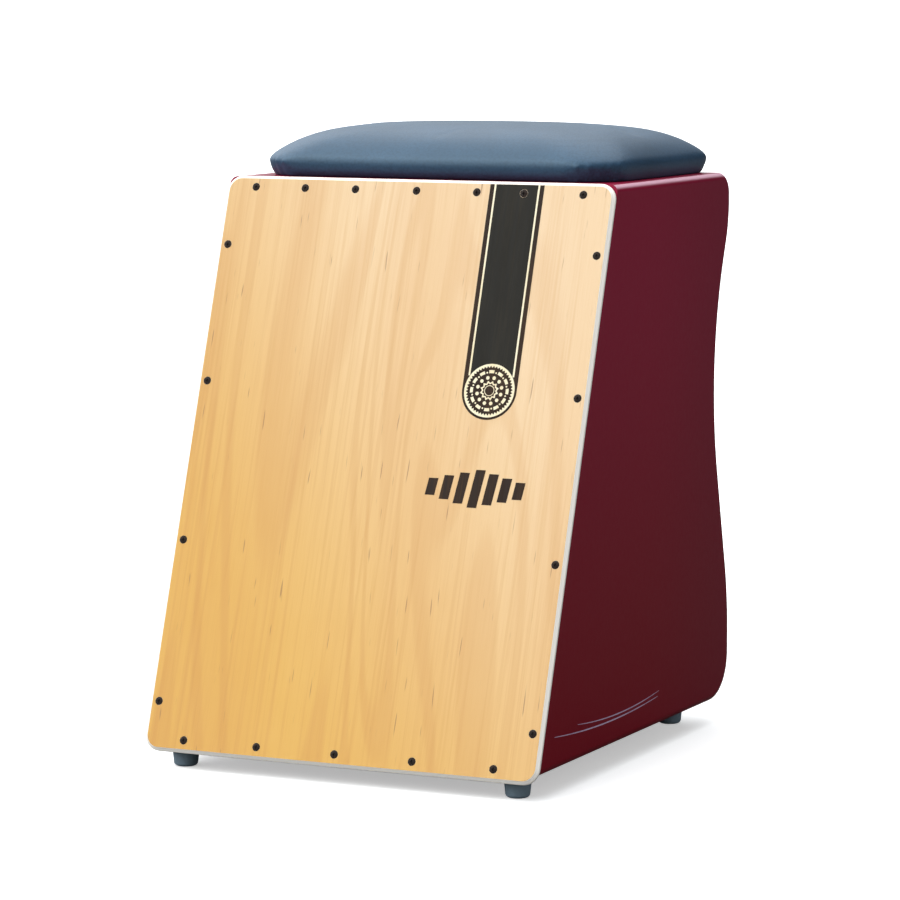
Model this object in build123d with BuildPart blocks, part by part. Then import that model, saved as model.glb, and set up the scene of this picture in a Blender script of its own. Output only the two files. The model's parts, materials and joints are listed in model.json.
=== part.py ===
from build123d import *
from math import cos, radians, sin, tan
import os

# Cajon with a tilted playing face (the tapa), a waisted back and an upholstered seat.
# Millimetres. +X is the viewer's right, +Y runs from the tapa to the back, +Z is up.
# The origin is on the floor, in the middle of the footprint.

# ---- driving dimensions ----------------------------------------------------------
DEPTH = 398.0                  # foot of the tapa to the heel of the back
FRONT_Y = -201.0               # foot of the tapa; the seat overhangs the back a little
WIDTH = 340.0                  # over the side panels, and of the tapa
FOOT_HEIGHT = 20.0
BODY_HEIGHT = 439.5            # underside to top of the box, without feet and seat
PANEL = 15.0                   # side panels, top board and bottom board

TAPA_LENGTH = 470.0            # along its slope
TAPA_TILT = 18.5               # degrees back from the vertical
TAPA_THICK = 4.0
TAPA_CORNER = 13.0
TAPA_BEVEL = 2.6               # width of the bevel round the front edge
TAPA_BEVEL_DEPTH = 2.2
TAPA_OVERHANG = 5.0            # how far the tapa hangs below the box

HEEL_RADIUS = 37.0             # bottom back corner, seen from the side
HEEL_FLAT = 18.0
HIP_RADIUS = 245.0             # from the heel into the lower slope of the back
LOWER_SLOPE = 13.5             # degrees
LOWER_STRAIGHT = 83.0
WAIST_RADIUS = 300.0
UPPER_SLOPE = 21.5             # degrees
UPPER_STRAIGHT = 8.0
SHOULDER_RADIUS = 95.0
CREST_RADIUS = 18.0            # top back corner, seen from the side
EDGE_ROUND = 6.0               # router radius on the outer edges of the side panels

FRONT_RAIL_THICK = 10.0        # square to the tapa
FRONT_RAIL_HEIGHT = 30.0       # along the slope
BACK_THICK = 6.0               # bent plywood
BACK_RECESS = 1.0              # set in from the side panels' back edges
BACK_LOW = 58.0
BACK_HIGH = 439.0
REAR_RAIL_DEPTH = 32.0
TOP_RAIL_BOTTOM = 414.0
BOTTOM_RAIL_TOP = 77.0
CLEAT_WIDTH = 12.0
CLEAT_DEPTH = 14.0
SOUND_HOLE_RADIUS = 57.5
SOUND_HOLE_HEIGHT = 289.0
SOUND_HOLE_ROUND = 1.5

FOOT_TOP_RADIUS = 11.5
FOOT_BOTTOM_RADIUS = 9.3
FOOT_EDGE = 3.2
FOOT_FRONT_X = 144.0
FOOT_REAR_X = 134.0
FOOT_FRONT_INSET = 24.0        # behind the foot of the tapa
FOOT_REAR_INSET = 44.0         # ahead of the heel

SEAT_WIDTH = 314.0             # at the widest line of the cushion
SEAT_DEPTH = 238.0
SEAT_Y = 83.0                  # middle of the seat
SEAT_CORNER = 39.0             # of the plan, at the widest line
SEAT_CORNER_GROWTH = 0.5       # how much rounder the plan gets for each mm it draws in
SEAT_BAND = 14.5               # height of the lower band, which tapers in
SEAT_TAPER = 3.5
SEAT_HEIGHT = 42.5
SEAT_SHOULDER = 66.5           # radius where the side rolls over into the crown
SEAT_SHOULDER_START = 52.5     # degrees, slope of the cushion at its widest line
SEAT_SHOULDER_END = 5.5        # degrees, where the crown begins
SEAT_CROWN_INSET = 88.0        # the flat middle of the crown starts this far in
COVER_THICK = 1.5
COVER_HEM = 26.0               # width of the vinyl turned in under the board
SEAT_BOARD_THICK = 12.0
SEAT_BOARD_MARGIN = 11.0       # board edge in from the widest line
SEAT_BOARD_CORNER = 36.0
SEAT_BOLT_X = 100.0
SEAT_BOLT_Y = 68.0

PIVOT_S = 150.0                # down the slope from the top edge of the tapa
PIVOT_DEPTH = 18.0             # behind the front face of the tapa
PIVOT_RADIUS = 3.0
SNARE_X = 75.0                 # middle of each snare
WIRE_COUNT = 10
WIRE_PITCH = 4.0
WIRE_RADIUS = 1.5              # outer radius of the coiled wire
WIRE_TOP_S = 46.0
WIRE_END_S = 135.0
SNARE_GAP = 0.3                # wires to the tapa
PLATE_THICK = 0.8
BAR_TOP_S = 126.0
BAR_END_S = 158.0
BAR_THICK = 20.0
BAR_LENGTH = 266.4
BAR_ROUND = 2.0
LEVER_LENGTH = 72.0
LEVER_RADIUS = 3.0
KNOB_RADIUS = 11.0

FIT = 0.05                     # radial clearance of a pin or screw in its hole

# ---- derived sizes ---------------------------------------------------------------
INNER_WIDTH = WIDTH - 2 * PANEL
BODY_BOTTOM = FOOT_HEIGHT
BODY_TOP = FOOT_HEIGHT + BODY_HEIGHT
TILT = radians(TAPA_TILT)
HEEL_Y = FRONT_Y + DEPTH
TAPA_BOTTOM = BODY_BOTTOM - TAPA_OVERHANG
TOP_EDGE_Y = FRONT_Y + TAPA_LENGTH * sin(TILT)
TOP_EDGE_Z = TAPA_BOTTOM + TAPA_LENGTH * cos(TILT)
FRONT_STACK = TAPA_THICK + FRONT_RAIL_THICK
RAIL_END_S = TAPA_LENGTH - 1.5
SEAT_FLOOR = BODY_TOP
BOARD_BOTTOM = SEAT_FLOOR + COVER_THICK
BOARD_TOP = BOARD_BOTTOM + SEAT_BOARD_THICK

# The tapa's own plane: x across, y up the slope from the top edge, z out to the player.
TAPA_PLANE = Plane(
    origin=(0, TOP_EDGE_Y, TOP_EDGE_Z),
    x_dir=(1, 0, 0),
    z_dir=(0, -cos(TILT), sin(TILT)),
)


def front_y(z, depth):
    """Y of the plane that lies `depth` behind the tapa's front face, at height z."""
    return FRONT_Y + (z - TAPA_BOTTOM) * tan(TILT) + depth / cos(TILT)


def save(builder, label):
    """Label a finished piece and write it as its own STEP file."""
    builder.part.label = label
    export_step(builder.part, f"parts/{label}.step")


os.makedirs("parts", exist_ok=True)

# ---- side profile of the box -----------------------------------------------------
# Drawn with x for Y and y for Z. The back is a chain of tangent arcs from the heel up.
with BuildSketch() as body_outline:
    with BuildLine():
        underside = Line(
            (front_y(BODY_BOTTOM, TAPA_THICK), BODY_BOTTOM),
            (HEEL_Y - HEEL_RADIUS, BODY_BOTTOM),
        )
        heel = JernArc(underside @ 1, underside % 1, HEEL_RADIUS, 90)
        heel_flat = Line(heel @ 1, heel @ 1 + heel % 1 * HEEL_FLAT)
        hip = JernArc(heel_flat @ 1, heel_flat % 1, HIP_RADIUS, LOWER_SLOPE)
        lower_back = Line(hip @ 1, hip @ 1 + hip % 1 * LOWER_STRAIGHT)
        waist = JernArc(
            lower_back @ 1, lower_back % 1, WAIST_RADIUS, -(LOWER_SLOPE + UPPER_SLOPE)
        )
        upper_back = Line(waist @ 1, waist @ 1 + waist % 1 * UPPER_STRAIGHT)
        shoulder = JernArc(upper_back @ 1, upper_back % 1, SHOULDER_RADIUS, UPPER_SLOPE)
        crest_flat = Line(
            shoulder @ 1, ((shoulder @ 1).X, BODY_TOP - CREST_RADIUS)
        )
        crest = JernArc(crest_flat @ 1, crest_flat % 1, CREST_RADIUS, 90)
        top_edge = Line(crest @ 1, (front_y(BODY_TOP, TAPA_THICK), BODY_TOP))
        Line(top_edge @ 1, underside @ 0)
    make_face()

TOP_BACK_Y = (crest @ 0).X


def inset_outline(inset):
    """The side profile, drawn in by `inset` all round."""
    with BuildSketch() as shrunk:
        add(body_outline.sketch)
        offset(amount=-inset, kind=Kind.INTERSECTION)
    return shrunk.sketch


def slice_outline(outline, y_low, z_low, z_high):
    """The part of a profile behind y_low and between two heights."""
    with BuildSketch() as piece:
        add(outline)
        with Locations((y_low, z_low)):
            Rectangle(
                DEPTH, z_high - z_low, align=(Align.MIN, Align.MIN), mode=Mode.INTERSECT
            )
    return piece.sketch


def back_band(outer, inner, z_low, z_high):
    """A strip that follows the curved back, between two insets and two heights."""
    with BuildSketch() as band:
        add(slice_outline(inset_outline(outer), 0, z_low, z_high))
        add(inset_outline(inner), mode=Mode.SUBTRACT)
    return band.sketch


# ---- fasteners -------------------------------------------------------------------
SCREW_HEAD = 3.3
SCREW_SHANK = 1.5
SCREW_LENGTH = 13.0
SCREW_DOME = 0.4
RECESS_ARM = 3.2
RECESS_SLOT = 0.8
RECESS_DEPTH = 1.3


def screw(head, shank, length):
    """Countersunk screw along -Z, its head's rim at z = 0, with a cross recess."""
    sink = head - shank
    with BuildPart() as body:
        with BuildSketch(Plane.XZ):
            with BuildLine():
                Line((0, -length), (0, SCREW_DOME))
                ThreePointArc((0, SCREW_DOME), (head / 2, SCREW_DOME * 0.75), (head, 0))
                Polyline(
                    (head, 0), (shank, -sink), (shank, 2 * shank - length), (0, -length)
                )
            make_face()
        revolve(axis=Axis.Z)
        with BuildSketch(Plane.XY.offset(SCREW_DOME)):
            arm = RECESS_ARM * head / SCREW_HEAD
            slot = RECESS_SLOT * head / SCREW_HEAD
            Rectangle(arm, slot)
            Rectangle(slot, arm)
        extrude(amount=-RECESS_DEPTH * head / SCREW_HEAD, mode=Mode.SUBTRACT)
    return body.part


def screw_hole(head, shank, length):
    """The space a countersunk screw needs, open above its head."""
    sink = head - shank
    with BuildPart() as space:
        with BuildSketch(Plane.XZ):
            with BuildLine():
                Polyline(
                    (0, 1),
                    (head + FIT, 1),
                    (head + FIT, 0),
                    (shank + FIT, -sink),
                    (shank + FIT, -length - 0.5),
                    (0, -length - 0.5),
                    close=True,
                )
            make_face()
        revolve(axis=Axis.Z)
    return space.part


def bolt(head, head_height, shank, length):
    """Button-headed bolt along +Z, the underside of its head at z = 0."""
    with BuildPart() as body:
        with BuildSketch(Plane.XY.offset(-head_height)):
            Circle(head)
        extrude(amount=head_height)
        fillet(body.edges().group_by(Axis.Z)[0], head_height * 0.6)
        with BuildSketch(Plane.XY.offset(-head_height)):
            RegularPolygon(head * 0.45, 6)
        extrude(amount=head_height * 0.6, mode=Mode.SUBTRACT)
        with BuildSketch(Plane.XY):
            Circle(shank)
        extrude(amount=length)
        chamfer(body.edges().group_by(Axis.Z)[-1], shank * 0.25)
    return body.part


def ring(outer, inner, thick):
    """Flat washer on z = 0."""
    with BuildPart() as washer:
        with BuildSketch():
            Circle(outer)
            Circle(inner, mode=Mode.SUBTRACT)
        extrude(amount=thick)
    return washer.part


def place_all(label, solid, places):
    """Write one node that holds a copy of a solid at each place."""
    with BuildPart() as group:
        with Locations(*places):
            add(solid)
    save(group, label)


def cut_all(solid, places):
    """Take a solid out of the piece being built, at each place."""
    with Locations(*places):
        add(solid, mode=Mode.SUBTRACT)


panel_screw = screw(SCREW_HEAD, SCREW_SHANK, SCREW_LENGTH)
panel_screw_hole = screw_hole(SCREW_HEAD, SCREW_SHANK, SCREW_LENGTH)


def tapa_place(x, s):
    """A place on the front face of the tapa, s down the slope from its top edge."""
    return TAPA_PLANE * Location((x, -s, 0))


# Screw rows round the tapa: seven along the top, five along the bottom, four a side.
ROW_INSET = 9.7
COLUMN_INSET = 8.5
COLUMN_X = WIDTH / 2 - COLUMN_INSET
tapa_rows = {
    "top": [tapa_place(x, ROW_INSET) for x in (-143.5, -99, -54, 0, 52.5, 93, 143.5)],
    "bottom": [tapa_place(x, TAPA_LENGTH - ROW_INSET) for x in (-134.5, -70, -2, 64.5, 133)],
    "left": [tapa_place(-COLUMN_X, s) for s in (58, 171, 301, 431)],
    "right": [tapa_place(COLUMN_X, s) for s in (58, 171, 301, 431)],
}


def back_place(x, curve, where):
    """A place on the outside of the back panel, square to a curve of the profile."""
    point = curve @ where
    along = curve % where
    outward = Vector(0, along.Y, -along.X)
    return Location(
        Plane(
            origin=Vector(x, point.X, point.Y) - outward * BACK_RECESS,
            x_dir=(1, 0, 0),
            z_dir=outward,
        )
    )


CLEAT_X = INNER_WIDTH / 2 - CLEAT_WIDTH / 2
cleat_spots = ((hip, 0.75), (lower_back, 0.8), (waist, 0.55), (waist, 0.98))
back_rows = {
    "top": [back_place(x, shoulder, 0.8) for x in (-80, 0, 80)],
    "bottom": [back_place(x, heel_flat, 0.5) for x in (-80, 0, 80)],
    "left": [back_place(-CLEAT_X, curve, where) for curve, where in cleat_spots],
    "right": [back_place(CLEAT_X, curve, where) for curve, where in cleat_spots],
}

# Screws that hold the snare bearings to the side panels, driven outwards along X.
BLOCK_THICK = 20.0
BLOCK_HEIGHT = 46.0
BLOCK_NEAR = 5.5               # its front face, behind the front face of the tapa
BLOCK_DEPTH = 32.0
BLOCK_SCREW_LENGTH = 27.0
BLOCK_SCREW_REACH = 15.0
BLOCK_SCREW_SHIFT = 8.0        # behind the pivot
BLOCK_ROUND = 6.0
bearing_screw = screw(SCREW_HEAD, SCREW_SHANK, BLOCK_SCREW_LENGTH)
bearing_screw_hole = screw_hole(SCREW_HEAD, SCREW_SHANK, BLOCK_SCREW_LENGTH)


def snare_point(x, s, depth):
    """A point in the tapa's own frame, given down the slope and behind its face."""
    return TAPA_PLANE.from_local_coords((x, -s, -depth))


def bearing_places(side):
    """The two screw places of the bearing on one side (-1 left, 1 right)."""
    places = []
    face_x = side * (INNER_WIDTH / 2 - BLOCK_THICK)
    for reach in (-BLOCK_SCREW_REACH, BLOCK_SCREW_REACH):
        origin = snare_point(face_x, PIVOT_S + reach, PIVOT_DEPTH + BLOCK_SCREW_SHIFT)
        places.append(Location(Plane(origin=origin, x_dir=(0, 1, 0), z_dir=(-side, 0, 0))))
    return places


# ---- feet ------------------------------------------------------------------------
FOOT_BORE_RADIUS = 4.4
FOOT_BORE_DEPTH = 10.0
FOOT_SCREW_SHANK = 2.0
FOOT_SCREW_HEAD = 3.7
FOOT_SCREW_HEAD_HEIGHT = 2.6
FOOT_GAP = 0.5
FOOT_SCREW_GRIP = 12.0         # length of thread in the bottom board
FOOT_WASHER_RADIUS = 4.2
WASHER_THICK = 1.0

feet = {
    "front_left": (-FOOT_FRONT_X, FRONT_Y + FOOT_FRONT_INSET),
    "front_right": (FOOT_FRONT_X, FRONT_Y + FOOT_FRONT_INSET),
    "rear_left": (-FOOT_REAR_X, HEEL_Y - FOOT_REAR_INSET),
    "rear_right": (FOOT_REAR_X, HEEL_Y - FOOT_REAR_INSET),
}
for corner, (foot_x, foot_y) in feet.items():
    with BuildPart() as foot:
        with Locations((foot_x, foot_y, FOOT_HEIGHT / 2)):
            Cone(FOOT_BOTTOM_RADIUS, FOOT_TOP_RADIUS, FOOT_HEIGHT)
        fillet(foot.edges().group_by(Axis.Z)[0], FOOT_EDGE)
        with Locations((foot_x, foot_y, 0)):
            Cylinder(FOOT_BORE_RADIUS, 2 * FOOT_BORE_DEPTH, mode=Mode.SUBTRACT)
            Cylinder(FOOT_SCREW_SHANK + FIT, 2 * FOOT_HEIGHT + 2, mode=Mode.SUBTRACT)
    save(foot, f"foot_{corner}")

washer_z = FOOT_BORE_DEPTH - WASHER_THICK
foot_screw_length = FOOT_HEIGHT - washer_z + FOOT_SCREW_GRIP
place_all(
    "foot_washers",
    ring(FOOT_WASHER_RADIUS, FOOT_SCREW_SHANK + FIT, WASHER_THICK),
    [Location((x, y, washer_z)) for x, y in feet.values()],
)
place_all(
    "foot_screws",
    bolt(FOOT_SCREW_HEAD, FOOT_SCREW_HEAD_HEIGHT, FOOT_SCREW_SHANK, foot_screw_length),
    [Location((x, y, washer_z)) for x, y in feet.values()],
)

# ---- side panels -----------------------------------------------------------------
for side, hand in ((-1, "left"), (1, "right")):
    with BuildPart() as side_panel:
        with BuildSketch(Plane.YZ.offset(side * INNER_WIDTH / 2)):
            add(body_outline.sketch)
        extrude(amount=side * PANEL)
        outer_face = side_panel.faces().sort_by(Axis.X)[-1 if side > 0 else 0]
        rounded = [
            edge
            for edge in outer_face.edges()
            if (edge @ 0.5).Y > front_y((edge @ 0.5).Z, TAPA_THICK) + EDGE_ROUND
        ]
        fillet(rounded, EDGE_ROUND)
        cut_all(panel_screw_hole, tapa_rows[hand])
        cut_all(bearing_screw_hole, bearing_places(side))
    save(side_panel, f"side_panel_{hand}")

# ---- boards and rails between the side panels ------------------------------------
REAR_TOP_Y = TOP_BACK_Y - REAR_RAIL_DEPTH
REAR_BOTTOM_Y = HEEL_Y - REAR_RAIL_DEPTH - BACK_THICK
seat_bolts = [
    (x, SEAT_Y + y) for x in (-SEAT_BOLT_X, SEAT_BOLT_X) for y in (-SEAT_BOLT_Y, SEAT_BOLT_Y)
]
SEAT_BOLT_SHANK = 3.0


def board(z_low, rear_y):
    """A board between the front rail and a rear rail, its front edge cut to the tilt."""
    z_high = z_low + PANEL
    with BuildPart() as plank:
        with BuildSketch(Plane.YZ.offset(-INNER_WIDTH / 2)):
            with BuildLine():
                Polyline(
                    (front_y(z_low, FRONT_STACK), z_low),
                    (rear_y, z_low),
                    (rear_y, z_high),
                    (front_y(z_high, FRONT_STACK), z_high),
                    close=True,
                )
            make_face()
        extrude(amount=INNER_WIDTH)
    return plank.part


with BuildPart() as top_board:
    add(board(BODY_TOP - PANEL, REAR_TOP_Y))
    with Locations(*[(x, y, BODY_TOP) for x, y in seat_bolts]):
        Cylinder(SEAT_BOLT_SHANK + FIT, 3 * PANEL, mode=Mode.SUBTRACT)
save(top_board, "top_board")

with BuildPart() as bottom_board:
    add(board(BODY_BOTTOM, REAR_BOTTOM_Y))
    with Locations(*[(x, y, BODY_BOTTOM) for x, y in feet.values()]):
        Cylinder(FOOT_SCREW_SHANK + FIT, 2 * FOOT_SCREW_GRIP + 1, mode=Mode.SUBTRACT)
save(bottom_board, "bottom_board")

with BuildPart() as front_top_rail:
    with BuildSketch(Plane.YZ.offset(-INNER_WIDTH / 2)):
        add(body_outline.sketch)
    extrude(amount=INNER_WIDTH)
    with Locations(TAPA_PLANE * Location((0, 0, -TAPA_THICK - FRONT_RAIL_THICK / 2))):
        Box(INNER_WIDTH, 2 * FRONT_RAIL_HEIGHT, FRONT_RAIL_THICK, mode=Mode.INTERSECT)
    cut_all(panel_screw_hole, tapa_rows["top"])
save(front_top_rail, "front_top_rail")

with BuildPart() as front_bottom_rail:
    rail_middle = RAIL_END_S - FRONT_RAIL_HEIGHT / 2
    with Locations(
        TAPA_PLANE * Location((0, -rail_middle, -TAPA_THICK - FRONT_RAIL_THICK / 2))
    ):
        Box(INNER_WIDTH, FRONT_RAIL_HEIGHT, FRONT_RAIL_THICK)
    cut_all(panel_screw_hole, tapa_rows["bottom"])
    # The rail hangs a little below the box, so it is scalloped round the front feet.
    for corner in ("front_left", "front_right"):
        with Locations(feet[corner] + (BODY_BOTTOM,)):
            scallop = (Align.CENTER, Align.CENTER, Align.MAX)
            Cylinder(FOOT_TOP_RADIUS + FOOT_GAP, FOOT_HEIGHT, align=scallop, mode=Mode.SUBTRACT)
save(front_bottom_rail, "front_bottom_rail")

# The rear rails close the rounded corners, and step in where the back panel lies on them.
panel_bed = inset_outline(BACK_RECESS + BACK_THICK)

with BuildPart() as rear_top_rail:
    with BuildSketch(Plane.YZ.offset(-INNER_WIDTH / 2)):
        add(slice_outline(body_outline.sketch, REAR_TOP_Y, BACK_HIGH, BODY_TOP))
        add(slice_outline(panel_bed, REAR_TOP_Y, TOP_RAIL_BOTTOM, BACK_HIGH))
    extrude(amount=INNER_WIDTH)
    cut_all(panel_screw_hole, back_rows["top"])
save(rear_top_rail, "rear_top_rail")

with BuildPart() as rear_bottom_rail:
    with BuildSketch(Plane.YZ.offset(-INNER_WIDTH / 2)):
        add(slice_outline(body_outline.sketch, REAR_BOTTOM_Y, BODY_BOTTOM, BACK_LOW))
        add(slice_outline(panel_bed, REAR_BOTTOM_Y, BACK_LOW, BOTTOM_RAIL_TOP))
    extrude(amount=INNER_WIDTH)
    cut_all(panel_screw_hole, back_rows["bottom"])
save(rear_bottom_rail, "rear_bottom_rail")

# ---- back panel and its cleats ---------------------------------------------------
with BuildPart() as back_panel:
    with BuildSketch(Plane.YZ.offset(-INNER_WIDTH / 2)):
        add(back_band(BACK_RECESS, BACK_RECESS + BACK_THICK, BACK_LOW, BACK_HIGH))
    extrude(amount=INNER_WIDTH)
    with BuildSketch(Plane.XZ.offset(-DEPTH / 2)):
        with Locations((0, SOUND_HOLE_HEIGHT)):
            Circle(SOUND_HOLE_RADIUS)
    extrude(amount=DEPTH / 2, mode=Mode.SUBTRACT)
    for row in back_rows.values():
        cut_all(panel_screw_hole, row)
    hole_rims = [
        edge
        for edge in back_panel.edges()
        if edge.length > 6 * SOUND_HOLE_RADIUS and edge.geom_type != GeomType.LINE
    ]
    fillet(hole_rims, SOUND_HOLE_ROUND)
save(back_panel, "back_panel")

for side, hand in ((-1, "left"), (1, "right")):
    with BuildPart() as cleat:
        with BuildSketch(Plane.YZ.offset(side * (INNER_WIDTH / 2 - CLEAT_WIDTH))):
            outer = BACK_RECESS + BACK_THICK
            add(back_band(outer, outer + CLEAT_DEPTH, BOTTOM_RAIL_TOP, TOP_RAIL_BOTTOM))
        extrude(amount=side * CLEAT_WIDTH)
        cut_all(panel_screw_hole, back_rows[hand])
    save(cleat, f"back_cleat_{hand}")

for row_name, row in back_rows.items():
    place_all(f"back_screws_{row_name}", panel_screw, row)

# ---- tapa ------------------------------------------------------------------------
with BuildPart() as tapa:
    with BuildSketch(TAPA_PLANE.offset(-TAPA_THICK)):
        with Locations((0, -TAPA_LENGTH / 2)):
            RectangleRounded(WIDTH, TAPA_LENGTH, TAPA_CORNER)
    extrude(amount=TAPA_THICK)
    front_face = tapa.faces().filter_by(TAPA_PLANE).sort_by(Axis.Y)[0]
    chamfer(
        front_face.outer_wire().edges(),
        length=TAPA_BEVEL,
        length2=TAPA_BEVEL_DEPTH,
        reference=front_face,
    )
    for row in tapa_rows.values():
        cut_all(panel_screw_hole, row)
save(tapa, "tapa")

for row_name, row in tapa_rows.items():
    place_all(f"tapa_screws_{row_name}", panel_screw, row)

# ---- seat ------------------------------------------------------------------------


SHOULDER_STEPS = 5
CROWN_STEPS = 3


def cushion_levels(skin):
    """How far the plan draws in, and its height, from the widest line up to the crown."""
    start = radians(SEAT_SHOULDER_START)
    turn = radians(SEAT_SHOULDER_END) - start
    levels = []
    for step in range(SHOULDER_STEPS + 1):
        slope = start + turn * step / SHOULDER_STEPS
        inset = SEAT_SHOULDER * (sin(start) - sin(slope)) + skin * sin(slope)
        height = SEAT_BAND + SEAT_SHOULDER * (cos(slope) - cos(start)) - skin * cos(slope)
        levels.append((inset, height))
    roll_inset, roll_height = levels[-1]
    for step in range(1, CROWN_STEPS + 1):
        share = step / CROWN_STEPS
        inset = roll_inset + (SEAT_CROWN_INSET - roll_inset) * share
        rise = 1 - (1 - share) ** 2
        height = roll_height + (SEAT_HEIGHT - skin - roll_height) * rise
        levels.append((inset, height))
    return levels


def cushion_outline(inset, height, skin):
    """One level of the cushion, as a face to loft through."""
    corner = SEAT_CORNER + SEAT_CORNER_GROWTH * inset - skin
    longest = SEAT_DEPTH / 2 - inset - 1
    with BuildSketch(Plane.XY.offset(SEAT_FLOOR + height)) as outline:
        with Locations((0, SEAT_Y)):
            RectangleRounded(
                SEAT_WIDTH - 2 * inset, SEAT_DEPTH - 2 * inset, min(corner, longest)
            )
    return outline.sketch


def cushion_form(skin):
    """The cushion as a closed solid, `skin` inside its surface."""
    outlines = [cushion_outline(*level, skin) for level in cushion_levels(skin)]
    underside = cushion_outline(SEAT_TAPER + skin, skin, skin)
    with BuildPart() as form:
        loft([underside, outlines[0]], ruled=True)
        loft(outlines)
    return form.part


def seat_plan(margin, corner, z, thick):
    """A flat rounded block under or inside the cushion."""
    with BuildPart() as block:
        with BuildSketch(Plane.XY.offset(z)):
            with Locations((0, SEAT_Y)):
                RectangleRounded(SEAT_WIDTH - 2 * margin, SEAT_DEPTH - 2 * margin, corner)
        extrude(amount=thick)
    return block.part


TEE_BARREL = 4.2
TEE_FLANGE = 9.0
TEE_FLANGE_THICK = 1.2

with BuildPart() as seat_board:
    add(seat_plan(SEAT_BOARD_MARGIN, SEAT_BOARD_CORNER, BOARD_BOTTOM, SEAT_BOARD_THICK))
    with Locations(*[(x, y, BOARD_TOP) for x, y in seat_bolts]):
        CounterBoreHole(TEE_BARREL + FIT, TEE_FLANGE + FIT, TEE_FLANGE_THICK)
save(seat_board, "seat_board")

with BuildPart() as seat_foam:
    add(cushion_form(COVER_THICK))
    add(
        seat_plan(SEAT_BOARD_MARGIN, SEAT_BOARD_CORNER, BOARD_BOTTOM - 1, SEAT_BOARD_THICK + 1),
        mode=Mode.SUBTRACT,
    )
save(seat_foam, "seat_foam")

with BuildPart() as seat_cover:
    add(cushion_form(0))
    add(cushion_form(COVER_THICK), mode=Mode.SUBTRACT)
    hem_margin = SEAT_BOARD_MARGIN + COVER_HEM
    add(
        seat_plan(hem_margin, SEAT_CORNER / 2, SEAT_FLOOR - 1, COVER_THICK + 2),
        mode=Mode.SUBTRACT,
    )
save(seat_cover, "seat_cover")

with BuildPart() as tee_nut:
    with BuildSketch(Plane.XY.offset(-SEAT_BOARD_THICK)):
        Circle(TEE_BARREL)
    extrude(amount=SEAT_BOARD_THICK)
    with BuildSketch(Plane.XY.offset(-TEE_FLANGE_THICK)):
        Circle(TEE_FLANGE)
    extrude(amount=TEE_FLANGE_THICK)
    Cylinder(SEAT_BOLT_SHANK + FIT, 3 * SEAT_BOARD_THICK, mode=Mode.SUBTRACT)
place_all("seat_tee_nuts", tee_nut.part, [Location((x, y, BOARD_TOP)) for x, y in seat_bolts])

SEAT_WASHER_THICK = 1.2
SEAT_WASHER_RADIUS = 8.0
SEAT_BOLT_HEAD = 5.2
SEAT_BOLT_HEAD_HEIGHT = 3.6
seat_bolt_z = BODY_TOP - PANEL - SEAT_WASHER_THICK
place_all(
    "seat_bolt_washers",
    ring(SEAT_WASHER_RADIUS, SEAT_BOLT_SHANK + FIT, SEAT_WASHER_THICK),
    [Location((x, y, seat_bolt_z)) for x, y in seat_bolts],
)
place_all(
    "seat_bolts",
    bolt(SEAT_BOLT_HEAD, SEAT_BOLT_HEAD_HEIGHT, SEAT_BOLT_SHANK, BOARD_TOP - seat_bolt_z - 1),
    [Location((x, y, seat_bolt_z)) for x, y in seat_bolts],
)

# ---- snare bearings --------------------------------------------------------------
for side, hand in ((-1, "left"), (1, "right")):
    with BuildPart() as bearing:
        middle_x = side * (INNER_WIDTH - BLOCK_THICK) / 2
        middle = (middle_x, -PIVOT_S, -BLOCK_NEAR - BLOCK_DEPTH / 2)
        with Locations(TAPA_PLANE * Location(middle)):
            Box(BLOCK_THICK, BLOCK_HEIGHT, BLOCK_DEPTH)
        fillet(bearing.edges().filter_by(Axis.X), BLOCK_ROUND)
        pivot = snare_point(middle_x, PIVOT_S, PIVOT_DEPTH)
        with Locations(Location(Plane(origin=pivot, z_dir=(1, 0, 0)))):
            Cylinder(PIVOT_RADIUS + FIT, 2 * BLOCK_THICK, mode=Mode.SUBTRACT)
        cut_all(bearing_screw_hole, bearing_places(side))
    save(bearing, f"snare_bearing_{hand}")

place_all("snare_bearing_screws", bearing_screw, bearing_places(-1) + bearing_places(1))

# ---- swinging snare --------------------------------------------------------------
WIRE_DEPTH = TAPA_THICK + SNARE_GAP + WIRE_RADIUS
PLATE_NEAR = WIRE_DEPTH + WIRE_RADIUS
BAR_NEAR = PLATE_NEAR + PLATE_THICK
SNARE_WIDTH = WIRE_PITCH * WIRE_COUNT
PLATE_REACH = 7.0              # how far a plate runs under its wires
PIN_IN_BAR = 20.0
PIN_IN_BEARING = 18.0
WASHER_RADIUS = 8.0
SNARE_WASHER_THICK = 1.5
CLAMP_TOP_S = 137.0
CLAMP_END_S = 146.0
CLAMP_THICK = 2.1
CLAMP_SCREW_HEAD = 2.2
CLAMP_SCREW_SHANK = 1.1
CLAMP_SCREW_LENGTH = 12.0
CLAMP_SCREW_X = 16.0
LEVER_IN_BAR = 10.0
KNOB_GRIP = 8.0                # how far the rod goes into the knob
LEVER_S = (BAR_TOP_S + BAR_END_S) / 2


def slope_block(x, width, s_top, s_end, near, thick):
    """A block lying along the tapa: its extent down the slope and behind the face."""
    middle = (x, -(s_top + s_end) / 2, -near - thick / 2)
    with BuildPart() as block:
        with Locations(TAPA_PLANE * Location(middle)):
            Box(width, s_end - s_top, thick)
    return block.part


def snare_strip(side, s_top, s_end, near, thick):
    """A block as wide as one snare, on the left (-1) or the right (1)."""
    return slope_block(side * SNARE_X, SNARE_WIDTH, s_top, s_end, near, thick)


def across(x, s, depth):
    """A place whose z runs along +X, in the tapa's frame."""
    return Location(Plane(origin=snare_point(x, s, depth), z_dir=(1, 0, 0)))


def inward(x, s, depth):
    """A place whose z runs out towards the player, at a depth behind the face."""
    return TAPA_PLANE * Location((x, -s, -depth))


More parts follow.
